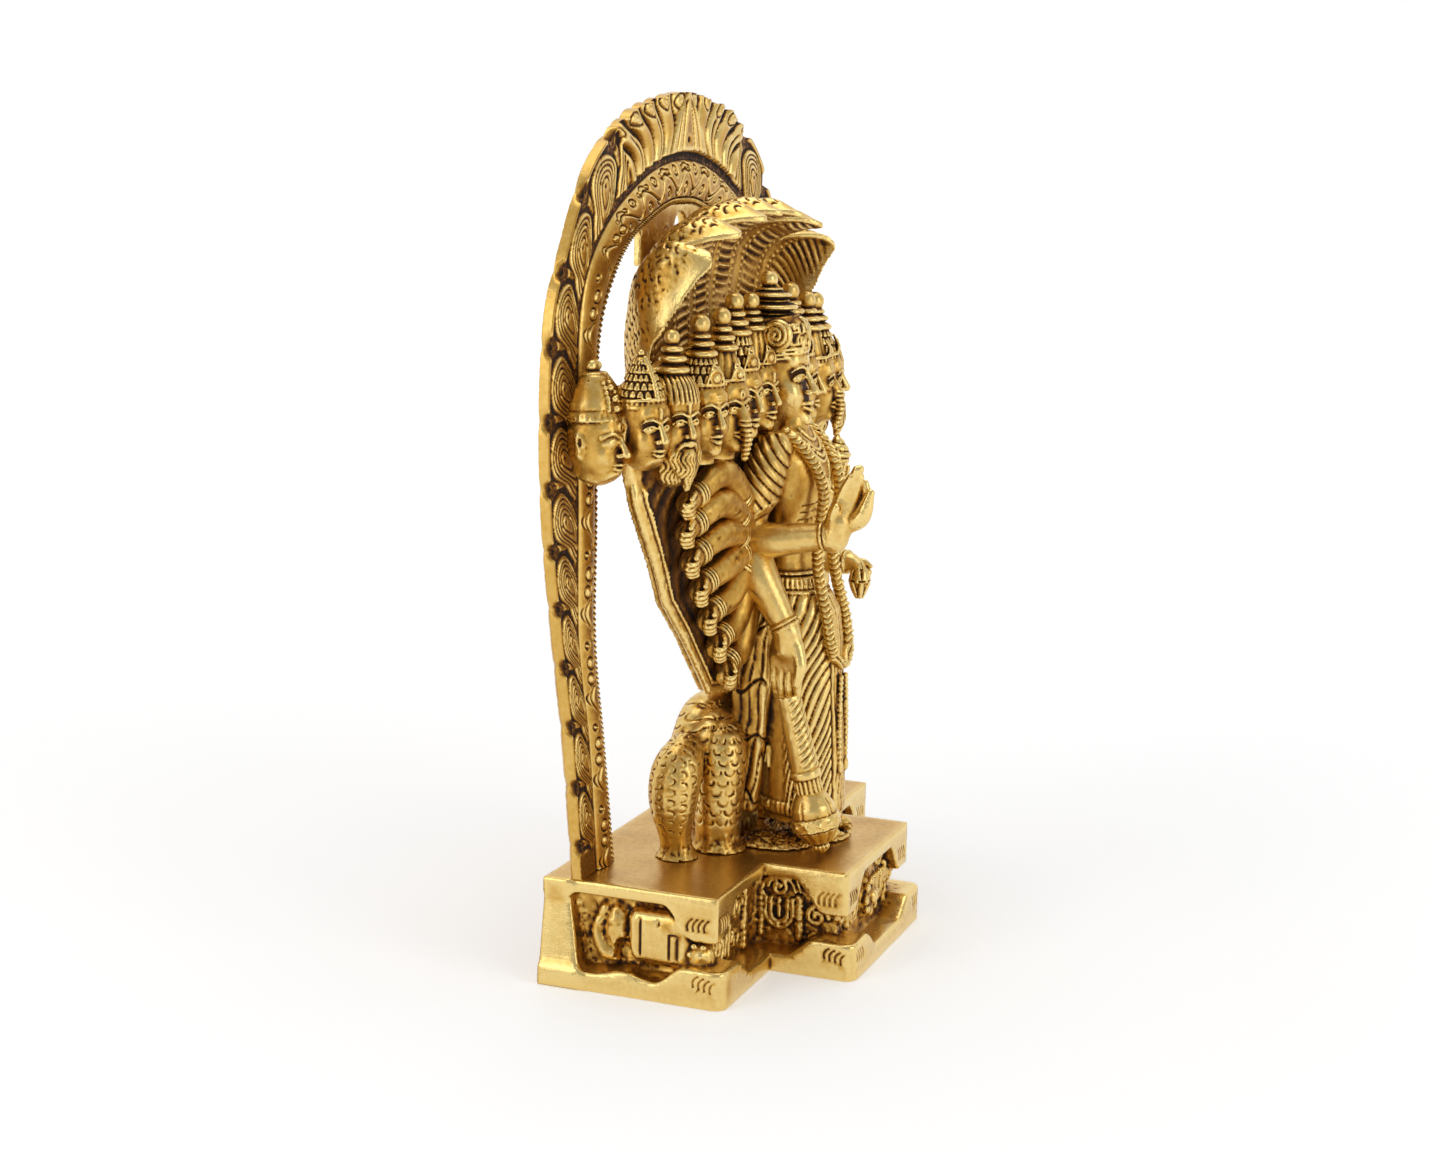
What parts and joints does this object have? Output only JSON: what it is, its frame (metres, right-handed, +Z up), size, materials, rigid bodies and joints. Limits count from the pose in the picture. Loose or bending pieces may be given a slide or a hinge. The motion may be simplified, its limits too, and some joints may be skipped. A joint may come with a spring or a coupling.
{
  "type": "brass deity statue",
  "caption": "Cast brass figure of a many-headed, many-armed standing deity under a serpent hood, inside a flame-bordered arch on a stepped base.",
  "frame": {"origin": "middle of the footprint on the surface the base stands on", "axes": "+Z up, the figure faces -Y, its right hand side is -X"},
  "size_m": [0.2901, 0.132, 0.4],
  "materials": {
    "antique_brass": "satin, dark in the recesses",
    "satin_brass": "satin, filed",
    "plain_brass": "as turned"
  },
  "bodies": {
    "root": {"arch_frame": "antique_brass", "base_bolts": "plain_brass", "base_casting": "satin_brass", "base_washers": "plain_brass", "conch": "antique_brass", "figure_body": "antique_brass", "front_arm_left_lower": "antique_brass", "front_arm_left_upper": "antique_brass", "front_arm_right_lower": "antique_brass", "front_arm_right_upper": "antique_brass", "garland": "antique_brass", "hood_bridge": "antique_brass", "lotus_bud": "antique_brass", "mace": "antique_brass", "main_head": "antique_brass", "rear_arm_left_1": "antique_brass", "rear_arm_left_2": "antique_brass", "rear_arm_left_3": "antique_brass", "rear_arm_left_4": "antique_brass", "rear_arm_left_5": "antique_brass", "rear_arm_left_6": "antique_brass", "rear_arm_left_7": "antique_brass", "rear_arm_right_1": "antique_brass", "rear_arm_right_2": "antique_brass", "rear_arm_right_3": "antique_brass", "rear_arm_right_4": "antique_brass", "rear_arm_right_5": "antique_brass", "rear_arm_right_6": "antique_brass", "rear_arm_right_7": "antique_brass", "serpent_coil": "antique_brass", "serpent_hood": "antique_brass", "serpent_trunk": "antique_brass", "side_head_left_1": "antique_brass", "side_head_left_2": "antique_brass", "side_head_left_3": "antique_brass", "side_head_left_4": "antique_brass", "side_head_left_5": "antique_brass", "side_head_left_6": "antique_brass", "side_head_left_7": "antique_brass", "side_head_right_1": "antique_brass", "side_head_right_2": "antique_brass", "side_head_right_3": "antique_brass", "side_head_right_4": "antique_brass", "side_head_right_5": "antique_brass", "side_head_right_6": "antique_brass", "side_head_right_7": "antique_brass", "wing_left": "antique_brass", "wing_right": "antique_brass"}
  },
  "joints": []
}
